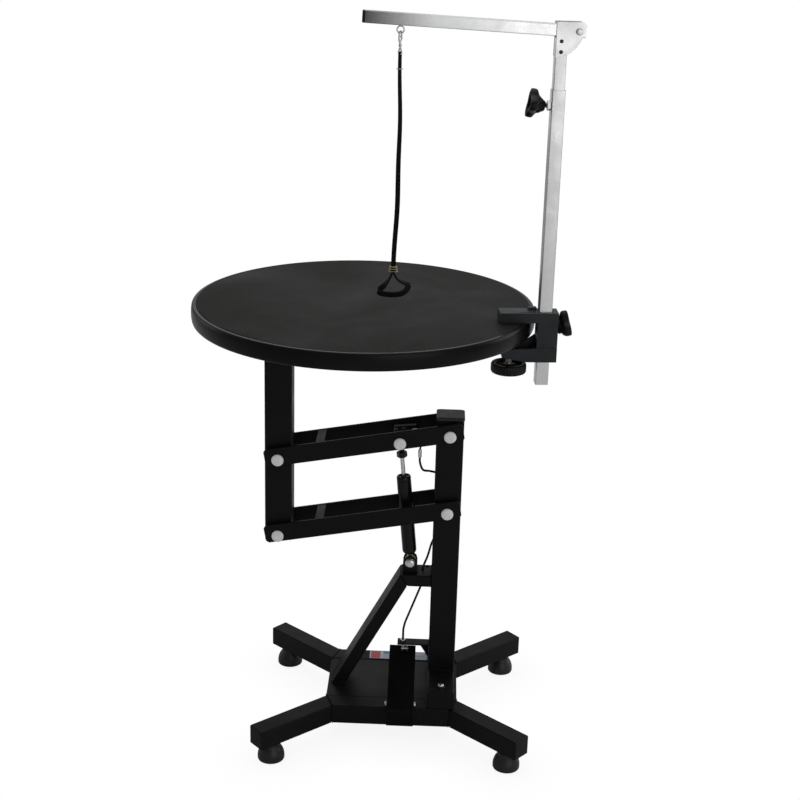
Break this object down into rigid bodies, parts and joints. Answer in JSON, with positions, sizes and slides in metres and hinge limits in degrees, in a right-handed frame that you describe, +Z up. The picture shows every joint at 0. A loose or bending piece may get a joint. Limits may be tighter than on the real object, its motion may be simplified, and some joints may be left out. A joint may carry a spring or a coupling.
{
  "type": "grooming table",
  "caption": "Round grooming table on a gas-spring parallelogram lift with foot pedal, four-leg base, clamp-on telescopic arm and hanging tether.",
  "frame": {"origin": "on the floor under the middle of the whole outline, 40 mm to the left of the middle of the four feet", "axes": "+Z up; the pedal faces -Y; the column stands on the +X side of the base"},
  "size_m": [0.669, 0.61, 1.3446],
  "materials": {
    "black_powder_coat": "satin black powder coat, faint orange peel",
    "gloss_black": "semi-gloss black paint",
    "black_plastic": "moulded black plastic",
    "black_rubber": "matt black rubber",
    "grey_plastic": "dark grey moulded plastic",
    "white_nylon": "smooth white nylon",
    "zinc_plate": "bright zinc-plated steel",
    "yellow_zinc": "dull yellow-passivated steel",
    "chrome_plate": "bright satin chrome plate",
    "dark_steel": "dark oiled steel",
    "plywood": "raw plywood",
    "edge_moulding": "smooth black extruded edge moulding",
    "rubber_mat": "brown-black rubber with a fine non-slip texture",
    "grey_cast_metal": "dark grey painted casting",
    "black_webbing": "woven black nylon webbing"
  },
  "bodies": {
    "base": {"front_crossbar": "black_powder_coat", "rear_crossbar": "black_powder_coat", "deck_plate": "black_powder_coat", "leg_front_left": "black_powder_coat", "leg_front_right": "black_powder_coat", "leg_rear_left": "black_powder_coat", "leg_rear_right": "black_powder_coat", "column_foot": "black_powder_coat", "column": "black_powder_coat", "column_cap": "grey_plastic", "support_bracket": "black_powder_coat", "brace": "black_powder_coat", "spring_clevis": "black_powder_coat", "spring_bolt": "zinc_plate", "cable_bracket": "black_powder_coat", "cable_lower": "black_plastic", "cable_upper": "black_plastic", "pedal_bracket": "black_powder_coat", "pedal_pin": "zinc_plate", "upper_column_pin": "white_nylon", "lower_column_pin": "white_nylon"},
    "levelling_foot_front_left": {"foot_front_left": "black_rubber"},
    "levelling_foot_front_right": {"foot_front_right": "black_rubber"},
    "levelling_foot_rear_left": {"foot_rear_left": "black_rubber"},
    "levelling_foot_rear_right": {"foot_rear_right": "black_rubber"},
    "foot_pedal": {"pedal": "black_powder_coat"},
    "upper_arm": {"upper_bar_front": "black_powder_coat", "upper_bar_rear": "black_powder_coat", "upper_tie": "black_powder_coat", "upper_post_pin": "white_nylon", "spring_top_pin": "white_nylon"},
    "lower_arm": {"lower_bar_front": "black_powder_coat", "lower_bar_rear": "black_powder_coat", "lower_tie": "black_powder_coat", "lower_post_pin": "white_nylon"},
    "gas_spring_body": {"spring_cylinder": "gloss_black", "spring_eye": "yellow_zinc"},
    "gas_spring_rod": {"spring_rod": "chrome_plate", "spring_top_block": "gloss_black"},
    "valve_lever": {"release_lever": "dark_steel"},
    "table_top": {"table_post": "black_powder_coat", "table_frame": "black_powder_coat", "table_board": "plywood", "table_edge": "edge_moulding", "table_mat": "rubber_mat", "clamp_bracket": "grey_cast_metal"},
    "clamp_pad_screw": {"clamp_screw": "zinc_plate"},
    "clamp_hand_wheel": {"clamp_wheel": "black_plastic"},
    "clamp_post_knob": {"clamp_knob": "black_plastic"},
    "post": {"outer_post": "chrome_plate"},
    "post_lock_knob": {"post_knob": "black_plastic"},
    "telescope": {"inner_post": "chrome_plate", "corner_plate_front": "chrome_plate", "corner_plate_rear": "chrome_plate", "corner_bolt": "zinc_plate"},
    "boom_arm": {"boom": "chrome_plate", "boom_plug": "black_plastic", "tether_ring": "zinc_plate"},
    "tether": {"snap_hook": "zinc_plate", "strap": "black_webbing"}
  },
  "joints": [
    {"name": "lift", "type": "hinge", "parent": "base", "child": "upper_arm", "pos_m": [0.13331, 0, 0.5927], "axis": [0, 1, 0], "range_deg": [-18, 35], "stiffness_Nm_per_rad": 60, "springref_deg": 52.17, "deforming": ["cable_upper"]},
    {"name": "lower_arm_follow", "type": "hinge", "parent": "base", "child": "lower_arm", "pos_m": [0.13331, 0, 0.4412], "axis": [0, 1, 0], "range_deg": [-18.5, 35.5]},
    {"name": "table_level", "type": "hinge", "parent": "upper_arm", "child": "table_top", "pos_m": [-0.17966, 0, 0.53639], "axis": [0, 1, 0], "range_deg": [-35.5, 18.5]},
    {"name": "spring_body_swing", "type": "hinge", "parent": "base", "child": "gas_spring_body", "pos_m": [0.06761, 0, 0.327], "axis": [0, 1, 0], "range_deg": [-0.5, 0.9]},
    {"name": "spring_rod_swing", "type": "hinge", "parent": "upper_arm", "child": "gas_spring_rod", "pos_m": [0.04286, 0, 0.57643], "axis": [0, 1, 0], "range_deg": [-35.5, 18.5]},
    {"name": "pedal_press", "type": "hinge", "parent": "base", "child": "foot_pedal", "pos_m": [0.05821, -0.103, 0.0785], "axis": [-1, 0, 0], "range_deg": [0, 10], "stiffness_Nm_per_rad": 2, "springref_deg": -2.86},
    {"name": "valve_lever_press", "type": "hinge", "parent": "gas_spring_rod", "child": "valve_lever", "pos_m": [0.03037, 0, 0.59599], "axis": [0, 1, 0], "range_deg": [0, 6.2]},
    {"name": "level_front_left", "type": "slide", "parent": "base", "child": "levelling_foot_front_left", "axis": [0, 0, -1], "range_m": [0, 0.01], "stiffness_N_per_m": 100, "springref_m": -0.006},
    {"name": "level_front_right", "type": "slide", "parent": "base", "child": "levelling_foot_front_right", "axis": [0, 0, -1], "range_m": [0, 0.01], "stiffness_N_per_m": 100, "springref_m": -0.006},
    {"name": "level_rear_left", "type": "slide", "parent": "base", "child": "levelling_foot_rear_left", "axis": [0, 0, -1], "range_m": [0, 0.01], "stiffness_N_per_m": 100, "springref_m": -0.006},
    {"name": "level_rear_right", "type": "slide", "parent": "base", "child": "levelling_foot_rear_right", "axis": [0, 0, -1], "range_m": [0, 0.01], "stiffness_N_per_m": 100, "springref_m": -0.006},
    {"name": "clamp_screw_feed", "type": "slide", "parent": "table_top", "child": "clamp_pad_screw", "axis": [0, 0, -1], "range_m": [0, 0.0091], "stiffness_N_per_m": 100, "springref_m": -0.00985},
    {"name": "clamp_wheel_turn", "type": "hinge", "parent": "clamp_pad_screw", "child": "clamp_hand_wheel", "pos_m": [0.22903, -0.08636, 0.746], "axis": [0, 0, 1], "range_deg": [0, 2160]},
    {"name": "clamp_knob_turn", "type": "hinge", "parent": "table_top", "child": "clamp_post_knob", "pos_m": [0.32466, -0.07799, 0.8195], "axis": [0.9962, 0.0872, 0], "range_deg": [0, 360]},
    {"name": "post_height", "type": "slide", "parent": "table_top", "child": "post", "axis": [0, 0, 1], "range_m": [-0.2, 0.03], "stiffness_N_per_m": 60, "springref_m": 0.1663, "deforming": ["strap"]},
    {"name": "post_knob_turn", "type": "hinge", "parent": "post", "child": "post_lock_knob", "pos_m": [0.25294, -0.08426, 1.1985], "axis": [0.9962, 0.0872, 0], "range_deg": [0, 360]},
    {"name": "telescope_slide", "type": "slide", "parent": "post", "child": "telescope", "axis": [0, 0, 1], "range_m": [0, 0.2]},
    {"name": "boom_fold", "type": "hinge", "parent": "telescope", "child": "boom_arm", "pos_m": [0.31371, -0.07895, 1.3185], "axis": [-0.0872, 0.9962, 0], "range_deg": [0, 65]},
    {"name": "tether_hang", "type": "hinge", "parent": "boom_arm", "child": "tether", "pos_m": [0.02712, -0.10402, 1.31511], "axis": [-0.0872, 0.9962, 0], "range_deg": [-65.5, 0.5]}
  ],
  "couplings": [
    {"joint": "lower_arm_follow", "follows": "lift", "ratio": 1},
    {"joint": "table_level", "follows": "lift", "ratio": -1},
    {"joint": "spring_body_swing", "follows": "lift", "ratio": 0.0223},
    {"joint": "spring_rod_swing", "follows": "lift", "ratio": -0.9777},
    {"joint": "valve_lever_press", "follows": "pedal_press", "ratio": 0.6},
    {"joint": "clamp_screw_feed", "follows": "clamp_wheel_turn", "m_per_rad": 0.00023873},
    {"joint": "tether_hang", "follows": "boom_fold", "ratio": -1}
  ]
}
